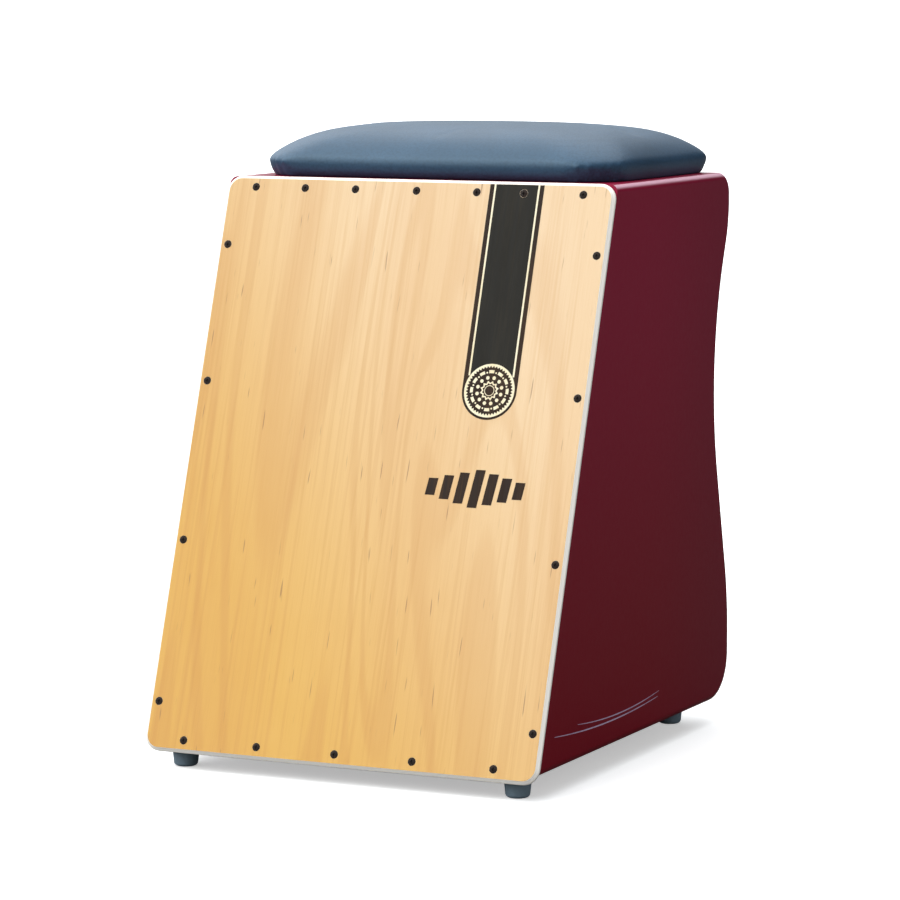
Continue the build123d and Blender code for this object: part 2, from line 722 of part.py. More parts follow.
clamp_s = (CLAMP_TOP_S + CLAMP_END_S) / 2
clamp_near = PLATE_NEAR - CLAMP_THICK
clamp_screw = screw(CLAMP_SCREW_HEAD, CLAMP_SCREW_SHANK, CLAMP_SCREW_LENGTH)
clamp_screw_hole = screw_hole(CLAMP_SCREW_HEAD, CLAMP_SCREW_SHANK, CLAMP_SCREW_LENGTH)
clamp_sink = 0.5               # heads sit this far under the strip's face
clamp_places = {
    side: [
        inward(side * SNARE_X + x, clamp_s, clamp_near + clamp_sink)
        for x in (-CLAMP_SCREW_X, CLAMP_SCREW_X)
    ]
    for side in (-1, 1)
}

with BuildPart() as snare_bar:
    add(slope_block(0, BAR_LENGTH, BAR_TOP_S, BAR_END_S, BAR_NEAR, BAR_THICK))
    fillet(snare_bar.edges().filter_by(Axis.X), BAR_ROUND)
    for side in (-1, 1):
        pin_middle = side * (BAR_LENGTH - PIN_IN_BAR) / 2
        with Locations(across(pin_middle, PIVOT_S, PIVOT_DEPTH)):
            Cylinder(PIVOT_RADIUS, PIN_IN_BAR, mode=Mode.SUBTRACT)
        cut_all(clamp_screw_hole, clamp_places[side])
    with Locations(inward(0, LEVER_S, BAR_NEAR + BAR_THICK)):
        Cylinder(LEVER_RADIUS, 2 * LEVER_IN_BAR, mode=Mode.SUBTRACT)
save(snare_bar, "snare_bar")

for side, hand in ((-1, "left"), (1, "right")):
    with BuildPart() as snare_pin:
        pin_length = PIN_IN_BAR + SNARE_WASHER_THICK + PIN_IN_BEARING
        pin_middle = side * ((BAR_LENGTH + pin_length) / 2 - PIN_IN_BAR)
        with Locations(across(pin_middle, PIVOT_S, PIVOT_DEPTH)):
            Cylinder(PIVOT_RADIUS, pin_length)
    save(snare_pin, f"snare_pin_{hand}")

    with BuildPart() as snare_wires:
        wire_length = WIRE_END_S - WIRE_TOP_S
        wire_places = [
            inward(
                side * SNARE_X + (index - (WIRE_COUNT - 1) / 2) * WIRE_PITCH,
                (WIRE_TOP_S + WIRE_END_S) / 2,
                WIRE_DEPTH,
            )
            * Rotation(90, 0, 0)
            for index in range(WIRE_COUNT)
        ]
        with Locations(*wire_places):
            Cylinder(WIRE_RADIUS, wire_length)
    save(snare_wires, f"snare_wires_{hand}")

    with BuildPart() as top_plate:
        add(snare_strip(side, WIRE_TOP_S, WIRE_TOP_S + PLATE_REACH, PLATE_NEAR, PLATE_THICK))
    save(top_plate, f"snare_top_plate_{hand}")

    with BuildPart() as end_plate:
        add(snare_strip(side, WIRE_END_S - PLATE_REACH, CLAMP_END_S, PLATE_NEAR, PLATE_THICK))
        cut_all(clamp_screw_hole, clamp_places[side])
    save(end_plate, f"snare_end_plate_{hand}")

    with BuildPart() as clamp:
        add(snare_strip(side, CLAMP_TOP_S, CLAMP_END_S, clamp_near, CLAMP_THICK))
        cut_all(clamp_screw_hole, clamp_places[side])
    save(clamp, f"snare_clamp_{hand}")

place_all("snare_clamp_screws", clamp_screw, clamp_places[-1] + clamp_places[1])

with BuildPart() as snare_washers:
    washer_middle = (BAR_LENGTH + SNARE_WASHER_THICK) / 2
    with Locations(*[across(side * washer_middle, PIVOT_S, PIVOT_DEPTH) for side in (-1, 1)]):
        Cylinder(WASHER_RADIUS, SNARE_WASHER_THICK)
        Cylinder(PIVOT_RADIUS, 2 * SNARE_WASHER_THICK, mode=Mode.SUBTRACT)
save(snare_washers, "snare_washers")

rod_near = BAR_NEAR + BAR_THICK - LEVER_IN_BAR
rod_far = BAR_NEAR + BAR_THICK + LEVER_LENGTH
with BuildPart() as snare_lever:
    with Locations(inward(0, LEVER_S, (rod_near + rod_far) / 2)):
        Cylinder(LEVER_RADIUS, rod_far - rod_near)
save(snare_lever, "snare_lever")

with BuildPart() as snare_knob:
    with Locations(inward(0, LEVER_S, rod_far - KNOB_GRIP + KNOB_RADIUS)):
        Sphere(KNOB_RADIUS)
    with Locations(inward(0, LEVER_S, rod_far - KNOB_GRIP)):
        Cylinder(LEVER_RADIUS, 2 * KNOB_GRIP, mode=Mode.SUBTRACT)
save(snare_knob, "snare_knob")
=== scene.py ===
import json
import math

import bmesh
import bpy
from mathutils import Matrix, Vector


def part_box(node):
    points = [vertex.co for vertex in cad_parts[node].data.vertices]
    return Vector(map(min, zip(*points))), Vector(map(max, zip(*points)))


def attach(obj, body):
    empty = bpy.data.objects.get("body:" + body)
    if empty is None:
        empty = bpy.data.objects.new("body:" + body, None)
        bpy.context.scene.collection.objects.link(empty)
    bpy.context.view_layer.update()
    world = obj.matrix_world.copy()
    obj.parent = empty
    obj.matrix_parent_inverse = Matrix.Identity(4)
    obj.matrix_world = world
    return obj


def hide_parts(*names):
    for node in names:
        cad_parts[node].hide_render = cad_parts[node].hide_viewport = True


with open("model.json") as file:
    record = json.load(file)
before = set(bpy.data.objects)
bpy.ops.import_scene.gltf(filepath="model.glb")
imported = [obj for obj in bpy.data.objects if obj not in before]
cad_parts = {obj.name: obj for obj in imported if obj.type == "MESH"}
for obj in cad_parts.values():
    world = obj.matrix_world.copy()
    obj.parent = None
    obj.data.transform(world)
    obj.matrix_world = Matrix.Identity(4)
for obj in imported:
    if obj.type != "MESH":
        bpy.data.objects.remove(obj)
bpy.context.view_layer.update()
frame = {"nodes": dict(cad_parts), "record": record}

# Looks of a cajon with a tilted pine tapa, burgundy sides and a vinyl seat, built round the
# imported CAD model. Metres throughout. +X is the viewer's right, +Y the back, +Z up.

scene = bpy.context.scene
MM = 0.001

# ---- the frame's driving dimensions ----------------------------------------------
TILT = math.radians(18.5)              # the tapa leans back from the vertical
TAPA_LENGTH = 470 * MM                 # along its slope
TAPA_THICK = 4 * MM
TAPA_BEVEL = 2.6 * MM

DOWN_SLOPE = Vector((0, -math.sin(TILT), -math.cos(TILT)))
TO_PLAYER = Vector((0, -math.cos(TILT), math.sin(TILT)))
tapa_low, tapa_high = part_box("tapa")
tapa_back_top = Vector(
    (0, tapa_high.y, tapa_low.z + TAPA_LENGTH * math.cos(TILT))
)
TAPA_TOP = tapa_back_top + TO_PLAYER * TAPA_THICK


def tapa_point(x, s, out=0.0):
    """A point on the tapa's front face: across, down the slope, and proud of the face."""
    return TAPA_TOP + Vector((x, 0, 0)) + DOWN_SLOPE * s + TO_PLAYER * out


# ---- building materials ----------------------------------------------------------
def srgb(red, green, blue):
    """A display colour, 0 to 255 a channel, as the linear colour a shader takes."""

    def linear(value):
        value /= 255
        return value / 12.92 if value <= 0.04045 else ((value + 0.055) / 1.055) ** 2.4

    return (linear(red), linear(green), linear(blue), 1)


class Finish:
    """One node material: a Principled shader and the textures that feed it."""

    def __init__(self, name, **sockets):
        self.material = bpy.data.materials.new(name)
        self.material.use_nodes = True
        self.nodes = self.material.node_tree.nodes
        self.links = self.material.node_tree.links
        self.shader = self.nodes["Principled BSDF"]
        for socket, value in sockets.items():
            self.shader.inputs[socket.replace("_", " ")].default_value = value
        self.object_space = self.nodes.new("ShaderNodeTexCoord").outputs["Object"]

    def feed(self, socket, source):
        """Connects a source to a socket, or sets the socket to a plain value."""
        if isinstance(source, bpy.types.NodeSocket):
            self.links.new(source, socket)
        else:
            socket.default_value = source

    def place(self, scale, turn=0.0, source=None):
        """Object space turned about X, then stretched by a scale for each axis."""
        turned = self.nodes.new("ShaderNodeMapping")
        turned.inputs["Rotation"].default_value = (turn, 0, 0)
        self.links.new(source or self.object_space, turned.inputs["Vector"])
        stretched = self.nodes.new("ShaderNodeMapping")
        stretched.inputs["Scale"].default_value = scale
        self.links.new(turned.outputs["Vector"], stretched.inputs["Vector"])
        return stretched.outputs["Vector"]

    def noise(self, place, scale=1.0, detail=2.0, rough=0.5, warp=0.0):
        texture = self.nodes.new("ShaderNodeTexNoise")
        texture.inputs["Scale"].default_value = scale
        texture.inputs["Detail"].default_value = detail
        texture.inputs["Roughness"].default_value = rough
        texture.inputs["Distortion"].default_value = warp
        self.links.new(place, texture.inputs["Vector"])
        return texture.outputs["Fac"]

    def cells(self, place, scale=1.0, feature="F1"):
        texture = self.nodes.new("ShaderNodeTexVoronoi")
        texture.feature = feature
        texture.inputs["Scale"].default_value = scale
        self.links.new(place, texture.inputs["Vector"])
        return texture.outputs["Distance"]

    def math(self, operation, first, second=0.0):
        node = self.nodes.new("ShaderNodeMath")
        node.operation = operation
        self.feed(node.inputs[0], first)
        self.feed(node.inputs[1], second)
        return node.outputs[0]

    def span(self, value, low, high, to_low=0.0, to_high=1.0):
        """Value from low to high becomes to_low to to_high, with smooth ends."""
        node = self.nodes.new("ShaderNodeMapRange")
        node.interpolation_type = "SMOOTHSTEP"
        self.feed(node.inputs["Value"], value)
        node.inputs["From Min"].default_value = low
        node.inputs["From Max"].default_value = high
        node.inputs["To Min"].default_value = to_low
        node.inputs["To Max"].default_value = to_high
        return node.outputs["Result"]

    def mix(self, factor, first, second, blend="MIX"):
        node = self.nodes.new("ShaderNodeMix")
        node.data_type = "RGBA"
        node.blend_type = blend
        self.feed(node.inputs["Factor"], factor)
        self.feed(node.inputs[6], first)
        self.feed(node.inputs[7], second)
        return node.outputs[2]

    def along(self, direction, source=None):
        """How far object space, or another vector, reaches along a direction."""
        node = self.nodes.new("ShaderNodeVectorMath")
        node.operation = "DOT_PRODUCT"
        self.links.new(source or self.object_space, node.inputs[0])
        node.inputs[1].default_value = direction
        return node.outputs["Value"]

    def normal(self):
        """The surface's own direction, in object space at rest."""
        return self.nodes.new("ShaderNodeNewGeometry").outputs["Normal"]

    def colour(self, source):
        self.feed(self.shader.inputs["Base Color"], source)

    def roughness(self, source):
        self.feed(self.shader.inputs["Roughness"], source)

    def bump(self, *layers):
        """Stacks (height, strength, distance in metres) layers into the normal."""
        below = None
        for height, strength, distance in layers:
            node = self.nodes.new("ShaderNodeBump")
            node.inputs["Strength"].default_value = strength
            node.inputs["Distance"].default_value = distance
            self.links.new(height, node.inputs["Height"])
            if below:
                self.links.new(below, node.inputs["Normal"])
            below = node.outputs["Normal"]
        self.links.new(below, self.shader.inputs["Normal"])


# ---- wood ------------------------------------------------------------------------
PINE = (srgb(238, 208, 158), srgb(224, 186, 128), srgb(196, 148, 88), srgb(132, 84, 44))
PLY = (srgb(226, 198, 150), srgb(212, 178, 124), srgb(186, 146, 94), srgb(120, 84, 50))


def grain(finish, turn, tones, rings=20.0, ring_strength=0.35, axis="z"):
    """Softwood colour, its fibres along an axis. Returns the colour and the fibre height."""
    light, middle, ring, fleck = tones
    order = {"z": (0, 1, 2), "x": (2, 1, 0), "y": (0, 2, 1)}[axis]

    def stretched(across, along):
        scale = (across, across, along)
        return finish.place([scale[i] for i in order], turn)

    broad = finish.noise(stretched(7, 0.9), detail=2, warp=0.3)
    figure = finish.noise(stretched(9, 1.1), detail=1, rough=0.4, warp=0.6)
    waves = finish.math("SINE", finish.math("MULTIPLY", figure, rings * math.pi))
    ring_line = finish.span(waves, 0.15, 0.95)
    streak = finish.noise(stretched(300, 3.5), detail=3, rough=0.6)
    fibre = finish.noise(stretched(1500, 26), detail=2, rough=0.6)
    flecks = finish.span(finish.noise(stretched(420, 30), detail=1, rough=0.4), 0.70, 0.78)

    colour = finish.mix(finish.span(broad, 0.3, 0.7), light, middle)
    ring_share = finish.math("MULTIPLY", ring_line, ring_strength)
    colour = finish.mix(ring_share, colour, ring)
    streak_share = finish.span(streak, 0.45, 0.75, 0.0, 0.38)
    colour = finish.mix(streak_share, colour, ring)
    fibre_share = finish.span(fibre, 0.35, 0.75, 0.0, 0.16)
    colour = finish.mix(fibre_share, colour, ring)
    colour = finish.mix(finish.math("MULTIPLY", flecks, 0.55), colour, fleck)
    return colour, fibre


PLY_PITCH = 1.35 * MM
TO_LIT_CORNER = (0.74, 0, 0.67)       # painted light: paler towards its upper right, deeper lower left
SHADED_REACH = -0.02
LIT_REACH = 0.46


def tapa_finish():
    """Satin-lacquered pine veneer with painted light, paler towards its upper right; the bevel and
    the edge show the pale plies, painted near white as a painted highlight.
    """
    finish = Finish("pine_veneer", Roughness=0.42, Coat_Weight=0.12, Coat_Roughness=0.25)
    tones = (srgb(247, 217, 166), srgb(239, 200, 140), srgb(222, 172, 104), srgb(140, 84, 40))
    wood, fibre = grain(finish, TILT, tones, ring_strength=0.3)
    # Painted light: the veneer is tinted deeper and warmer towards its lower left and paler towards
    # its upper right, as the light falls across the tapa.
    painted_light_share = finish.span(finish.along(TO_LIT_CORNER), SHADED_REACH, LIT_REACH)
    painted_light_tint = finish.mix(painted_light_share, (0.76, 0.56, 0.13, 1), (0.94, 1.0, 1.28, 1))
    wood = finish.mix(1.0, wood, painted_light_tint, "MULTIPLY")
    facing = finish.along(TO_PLAYER, finish.normal())
    edge = finish.span(facing, 0.93, 0.985, 1.0, 0.0)
    depth = finish.along(TO_PLAYER)
    plies = finish.math("MULTIPLY", depth, 2 * math.pi / PLY_PITCH)
    ply_line = finish.span(finish.math("SINE", plies), 0.5, 0.95, 0.0, 0.35)
    # Partly the real pale plies, partly a painted highlight: the bevel's plies are painted near
    # white for its reflection.
    pale = finish.mix(ply_line, srgb(255, 251, 244), srgb(238, 222, 196))
    finish.colour(finish.mix(edge, wood, pale))
    finish.roughness(finish.span(fibre, 0.2, 0.8, 0.36, 0.5))
    finish.bump((fibre, 0.12, 0.00015))
    return finish.material


def bare_wood(name, tones, axis, rings=26.0):
    """Sanded timber without lacquer."""
    finish = Finish(name, Roughness=0.7)
    wood, fibre = grain(finish, 0.0, tones, rings, 0.4, axis)
    finish.colour(wood)
    finish.roughness(finish.span(fibre, 0.2, 0.8, 0.6, 0.8))
    finish.bump((fibre, 0.25, 0.0002))
    return finish.material


FACES_ALONG = 0.9                      # a flat face's normal, along its own axis
LEANS = 0.3                            # enough for a face that stands square to the tapa


def lacquer_finish():
    """Satin burgundy paint with painted light: lighter higher up, darker towards the back, and a
    painted highlight along the rounded top edges; bare wood inside the box.
    """
    finish = Finish("burgundy_lacquer", Roughness=0.3, Specular_IOR_Level=0.06)
    # Painted light: the paint is painted lighter and more purple higher up, for the light and cool
    # reflection on the upper part.
    rise = finish.span(finish.along((0, 0, 1)), 0.05, 0.46)
    paint = finish.mix(rise, srgb(121, 12, 29), srgb(140, 26, 56))
    # Painted shade: the paint is painted darker towards the back of the box.
    back = finish.span(finish.along((0, 1, 0)), 0.0, 0.2, 0.0, 0.35)
    paint = finish.mix(back, paint, srgb(96, 26, 42))
    speck = finish.span(finish.cells(finish.place((900, 900, 900))), 0.0, 0.12, 0.10, 0.0)
    paint = finish.mix(speck, paint, srgb(150, 80, 92))

    across = finish.along((1, 0, 0))
    facing_across = finish.along((1, 0, 0), finish.normal())
    facing_back = finish.along((0, 1, 0), finish.normal())
    facing_up = finish.along((0, 0, 1), finish.normal())
    sideways = finish.math("ABSOLUTE", facing_across)
    turned = finish.span(sideways, 0.2, 0.5)
    rounded = finish.math("MULTIPLY", turned, finish.span(sideways, 0.75, 0.98, 1.0, 0.0))
    # Painted highlight: the rounded edges, where they turn upwards, are painted pale pink.
    edge_highlight_paint = finish.math("MULTIPLY", rounded, finish.span(facing_up, 0.1, 0.5))
    paint = finish.mix(finish.math("MULTIPLY", edge_highlight_paint, 0.8), paint, srgb(232, 186, 204))

    inner_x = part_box("top_board")[1].x
    outwards = finish.math("MULTIPLY", facing_across, finish.math("SIGN", across))
    ahead = finish.math("LESS_THAN", finish.along((0, 1, 0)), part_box("back_panel")[0].y)
    inner_side = finish.math("MULTIPLY", ahead, finish.math("LESS_THAN", outwards, -FACES_ALONG))
    between = finish.math("LESS_THAN", finish.math("ABSOLUTE", across), inner_x)
    forwards = finish.math("MULTIPLY", between, finish.math("LESS_THAN", facing_back, -LEANS))
    low = finish.math("LESS_THAN", finish.along((0, 0, 1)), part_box("bottom_board")[1].z + MM)
    floor_side = finish.math("MULTIPLY", low, finish.math("GREATER_THAN", facing_up, FACES_ALONG))
    backwards = finish.math("MULTIPLY", between, finish.math("GREATER_THAN", facing_back, LEANS))
    backwards = finish.math("MULTIPLY", backwards, ahead)
    high = finish.math("GREATER_THAN", finish.along((0, 0, 1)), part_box("front_top_rail")[0].z - MM)
    ceiling_side = finish.math("MULTIPLY", high, finish.math("LESS_THAN", facing_up, -FACES_ALONG))
    inside = finish.math("MAXIMUM", inner_side, forwards)
    inside = finish.math("MAXIMUM", inside, backwards)
    inside = finish.math("MAXIMUM", inside, floor_side)
    inside = finish.math("MAXIMUM", inside, ceiling_side)
    bare, _ = grain(finish, 0.0, PINE)

    peel = finish.noise(finish.place((240, 240, 240)), detail=2)
    finish.colour(finish.mix(inside, paint, bare))
    satin = finish.span(peel, 0.2, 0.8, 0.28, 0.34)
    dull = finish.math("MULTIPLY", inside, 0.4)
    finish.roughness(finish.math("ADD", satin, dull))
    finish.bump((peel, 0.10, 0.0003))
    return finish.material


# ---- metal, plastic, rubber and foam ---------------------------------------------
def metal_finish(name, base, rough, brush=(60, 60, 900), worn=None):
    """Metal with fine brushing and clouded plating."""
    finish = Finish(name, Metallic=1.0, Roughness=rough)
    cloud = finish.noise(finish.place((70, 70, 70)), detail=3)
    lines = finish.noise(finish.place(brush), detail=2)
    finish.colour(finish.mix(finish.span(cloud, 0.3, 0.7, 0.0, 0.5), base, worn or base))
    finish.roughness(finish.span(lines, 0.2, 0.8, rough * 0.8, rough * 1.3))
    finish.bump((lines, 0.15, 0.0001))
    return finish.material


def black_screw_finish():
    """Black oxide, clouded a little brighter and darker at random."""
    finish = Finish("black_oxide", Metallic=0.2, Roughness=0.5, Specular_IOR_Level=0.2)
    cloud = finish.noise(finish.place((500, 500, 500)), detail=3)
    finish.colour(finish.mix(finish.span(cloud, 0.35, 0.7), srgb(24, 15, 10), srgb(44, 31, 23)))
    finish.roughness(finish.span(cloud, 0.3, 0.7, 0.38, 0.6))
    finish.bump((cloud, 0.2, 0.0001))
    return finish.material


def plastic_finish(name, base, shade, rough, grain_scale, depth):
    """Moulded plastic, rubber or nylon with a fine moulded texture."""
    finish = Finish(name, Roughness=rough)
    cloud = finish.noise(finish.place((40, 40, 40)), detail=3)
    texture = finish.noise(finish.place((grain_scale,) * 3), detail=3, rough=0.6)
    finish.colour(finish.mix(finish.span(cloud, 0.3, 0.7), base, shade))
    finish.roughness(finish.span(texture, 0.3, 0.7, rough * 0.85, min(1.0, rough * 1.2)))
    finish.bump((texture, 0.25, depth))
    return finish.material


def foam_finish():
    """Open-cell foam, its pores a few millimetres apart and painted dark as painted shade."""
    finish = Finish("seat_foam_cells", Roughness=0.95, Specular_IOR_Level=0.2)
    pores = finish.cells(finish.place((700, 700, 700)))
    cloud = finish.noise(finish.place((30, 30, 30)), detail=3)
    cream = finish.mix(finish.span(cloud, 0.3, 0.7), srgb(232, 224, 196), srgb(214, 200, 160))
    # Painted shade: the foam is painted darker in its pores.
    finish.colour(finish.mix(finish.span(pores, 0.15, 0.5, 0.5, 0.0), cream, srgb(120, 104, 74)))
    finish.bump((pores, 0.6, 0.0006))
    return finish.material


def vinyl_finish():
    """Blue-black upholstery vinyl with a fine pebble grain, its creases painted darker as painted
    shade.
    """
    finish = Finish(
        "seat_vinyl",
        Roughness=0.42,
        Specular_IOR_Level=0.6,
        Specular_Tint=(0.70, 0.90, 1.0, 1),
    )
    pebbles = finish.cells(finish.place((560, 560, 560)), feature="SMOOTH_F1")
    fine = finish.noise(finish.place((1900, 1900, 1900)), detail=2)
    cloud = finish.noise(finish.place((14, 14, 14)), detail=3)
    base = finish.mix(finish.span(cloud, 0.3, 0.7), srgb(40, 66, 90), srgb(48, 76, 102))
    # Painted shade: the hollows between the pebbles are painted darker.
    crease_shade = finish.span(pebbles, 0.25, 0.7, 0.0, 0.4)
    finish.colour(finish.mix(crease_shade, base, srgb(30, 50, 70)))
    finish.roughness(finish.span(fine, 0.25, 0.75, 0.36, 0.5))
    finish.bump((pebbles, 0.10, 0.0003), (fine, 0.08, 0.0001))
    return finish.material


def ink_finish(name, base, shade):
    """Screen-printed ink, thin enough that the wood's fibres show in it."""
    finish = Finish(name, Roughness=0.55, Specular_IOR_Level=0.15)
    fibre = finish.noise(finish.place((420, 420, 9), TILT), detail=3, rough=0.6)
    patch = finish.noise(finish.place((60, 60, 12), TILT), detail=3, rough=0.6)
    mixed = finish.math("MULTIPLY", fibre, patch)
    finish.colour(finish.mix(finish.span(mixed, 0.18, 0.42), base, shade))
    finish.roughness(finish.span(fibre, 0.3, 0.7, 0.42, 0.58))
    finish.bump((fibre, 0.15, 0.0001))
    return finish.material


finishes = {
    "painted_wood": lacquer_finish(),
    "rail_wood": bare_wood("bare_pine", PINE, "x"),
    "tapa_veneer": tapa_finish(),
    "seat_plywood": bare_wood("bare_plywood", PLY, "x"),
    "black_screw": black_screw_finish(),
    "foot_rubber": plastic_finish(
        "foot_rubber", srgb(116, 136, 150), srgb(126, 146, 160), 0.6, 1400, 0.0002
    ),
    "steel": metal_finish("zinc_plate", srgb(196, 198, 202), 0.32, worn=srgb(168, 170, 172)),
    "clamp_steel": metal_finish("brushed_strip", srgb(176, 178, 182), 0.36, (900, 60, 60)),
    "snare_wire": metal_finish("snare_wire", srgb(206, 208, 212), 0.24),
    "brass": metal_finish("brass_strip", srgb(206, 168, 92), 0.3, worn=srgb(184, 142, 70)),
    "nylon": plastic_finish("nylon", srgb(226, 222, 210), srgb(214, 208, 192), 0.45, 900, 0.0001),
    "knob_plastic": plastic_finish(
        "knob_plastic", srgb(20, 20, 22), srgb(30, 30, 33), 0.28, 700, 0.0001
    ),
    "vinyl": vinyl_finish(),
    "foam": foam_finish(),
}

for part in frame["record"]["subparts"]:
    skin = finishes[part["material_slot"]]
    node = frame["nodes"][part["node"]]
    node.data.materials.clear()
    node.data.materials.append(skin)

# The front rail closes the top of the box, so it is painted with it.
rail_top = frame["nodes"]["front_top_rail"]
rail_top.data.materials.clear()
rail_top.data.materials.append(finishes["painted_wood"])


# ---- making pieces ---------------------------------------------------------------
def add_piece(name, mesh, slot, body, material=None):
    """Links a finished mesh as a piece that rides on a body."""
    piece = bpy.data.objects.new(name, mesh)
    scene.collection.objects.link(piece)
    mesh.materials.clear()
    mesh.materials.append(material or finishes[slot])
    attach(piece, body)
    return piece


def arc(centre, radius, start, end, steps):
    """Points of an arc in a flat drawing, angles in degrees."""
    points = []
    for step in range(steps + 1):
        angle = math.radians(start + (end - start) * step / steps)
        points.append((centre[0] + radius * math.cos(angle), centre[1] + radius * math.sin(angle)))
    return points


def circle(centre, radius, steps=48):
    return arc(centre, radius, 0, 360, steps)[:-1]


def flat_solid(name, loops, thick):
    """A thin closed solid from flat loops; a loop inside another is a hole."""
    drawing = bpy.data.curves.new(name, "CURVE")
    drawing.dimensions = "2D"
    drawing.fill_mode = "BOTH"
    drawing.extrude = thick / 2
    for loop in loops:
        spline = drawing.splines.new("POLY")
        spline.points.add(len(loop) - 1)
        for point, (x, y) in zip(spline.points, loop):
            point.co = (x, y, 0, 1)
        spline.use_cyclic_u = True
    holder = bpy.data.objects.new(name + "_drawing", drawing)
    scene.collection.objects.link(holder)
    bpy.context.view_layer.update()
    mesh = bpy.data.meshes.new_from_object(
        holder.evaluated_get(bpy.context.evaluated_depsgraph_get())
    )
    bpy.data.objects.remove(holder)
    bpy.data.curves.remove(drawing)
    shape = bmesh.new()
    shape.from_mesh(mesh)
    bmesh.ops.remove_doubles(shape, verts=shape.verts, dist=thick / 10)
    bmesh.ops.recalc_face_normals(shape, faces=shape.faces)
    shape.to_mesh(mesh)
    shape.free()
    mesh.name = name
    return mesh


# ---- prints on the tapa ----------------------------------------------------------
INK_THICK = 0.06 * MM
INK_LIFT = 0.02 * MM                   # clear of the face, so that the two don't flicker
STRIPE_X = 86.7 * MM
STRIPE_HALF = 23.2 * MM
LINE_OUTER = 19.5 * MM
LINE_INNER = 18.0 * MM
ROSETTE_S = 168.2 * MM
DISC_RADIUS = 21.3 * MM
PRINT_TOP = TAPA_BEVEL + 0.2 * MM
STRIPE_SCREW_X = 93 * MM
STRIPE_SCREW_S = 9.7 * MM
SCREW_CLEAR = 3.5 * MM
MARK_CENTRE = (87 * MM, 246 * MM)
MARK_SIZE = (86 * MM, 30 * MM)


def print_on_tapa(name, loops, layer, material):
    """Lays a flat print on the tapa. Loops are in x and s, and layers stack outwards."""
    mesh = flat_solid(name, loops, INK_THICK)
    for vertex in mesh.vertices:
        lift = INK_LIFT + (layer + 0.5) * INK_THICK + vertex.co.z
        vertex.co = tapa_point(vertex.co.x, vertex.co.y, lift)
    shape = bmesh.new()
    shape.from_mesh(mesh)
    bmesh.ops.recalc_face_normals(shape, faces=shape.faces)
    shape.to_mesh(mesh)
    shape.free()
    return add_piece(name, mesh, "tapa_veneer", "box", material)


def band(x_low, x_high, s_low, s_high):
    return [(x_low, s_low), (x_high, s_low), (x_high, s_high), (x_low, s_high)]


def disc_edge(half):
    """S of the cream disc's upper edge at a distance from its middle."""
    return ROSETTE_S - math.sqrt(DISC_RADIUS**2 - half**2)


ink_brown = ink_finish("ink_brown_black", srgb(40, 24, 12), srgb(62, 42, 24))
ink_charcoal = ink_finish("ink_charcoal", srgb(26, 23, 16), srgb(40, 36, 28))
ink_cream = ink_finish("ink_cream", srgb(250, 238, 206), srgb(240, 222, 180))

disc_middle = (STRIPE_X, ROSETTE_S)
screw_gap = circle((STRIPE_SCREW_X, STRIPE_SCREW_S), SCREW_CLEAR, 32)
stripe = [(STRIPE_X + STRIPE_HALF, PRINT_TOP)]
stripe += arc(disc_middle, STRIPE_HALF, 0, 180, 64)
stripe += [(STRIPE_X - STRIPE_HALF, PRINT_TOP)]
print_on_tapa("print_stripe_border", [stripe, screw_gap], 0, ink_brown)

for side, hand in ((-1, "left"), (1, "right")):
    near, far = sorted((STRIPE_X + side * LINE_INNER, STRIPE_X + side * LINE_OUTER))
    line = band(near, far, PRINT_TOP, disc_edge(LINE_INNER))
    print_on_tapa(f"print_stripe_line_{hand}", [line], 1, ink_cream)

edge_angle = math.degrees(math.acos(LINE_INNER / DISC_RADIUS))
centre_loop = [(STRIPE_X - LINE_INNER, PRINT_TOP), (STRIPE_X + LINE_INNER, PRINT_TOP)]
centre_loop += arc(disc_middle, DISC_RADIUS, -edge_angle, edge_angle - 180, 40)
print_on_tapa("print_stripe_centre", [centre_loop, screw_gap], 1, ink_charcoal)

print_on_tapa("print_rosette_disc", [circle(disc_middle, DISC_RADIUS, 96)], 1, ink_cream)

TEETH = 48
PETALS = 12
RIM_RADIUS = 18.2 * MM
RIM_TOOTH = 1.6 * MM
WINDOW_INNER = 13.9 * MM
WINDOW_OUTER = 16.4 * MM
WINDOW_SHARE = 0.55
BEAD_REACH = 14.6 * MM
BEAD_RADIUS = 0.75 * MM
PETAL_REACH = 10.4 * MM
PETAL_RADIUS = 1.5 * MM
STAR_RADIUS = 6.2 * MM
STAR_TOOTH = 1.9 * MM
HUB_RADIUS = 5.0 * MM
HUB_TOOTH = 1.1 * MM
EYE_OUTER = 4.3 * MM
EYE_INNER = 3.7 * MM


def toothed(radius, height, count):
    """A ring edge with pointed teeth."""
    loop = []
    for index in range(count * 2):
        angle = math.pi * index / count
        reach = radius + (height if index % 2 else 0)
        loop.append((STRIPE_X + reach * math.cos(angle), ROSETTE_S + reach * math.sin(angle)))
    return loop


def window(index, count, inner, outer, share):
    """A cream opening between two radii, taking a share of one sector."""
    middle = 360 * index / count
    half = 180 / count * share
    loop = arc(disc_middle, outer, middle - half, middle + half, 6)
    loop += arc(disc_middle, inner, middle + half, middle - half, 6)
    return loop


def polar(angle, reach):
    return (
        STRIPE_X + reach * math.cos(math.radians(angle)),
        ROSETTE_S + reach * math.sin(math.radians(angle)),
    )


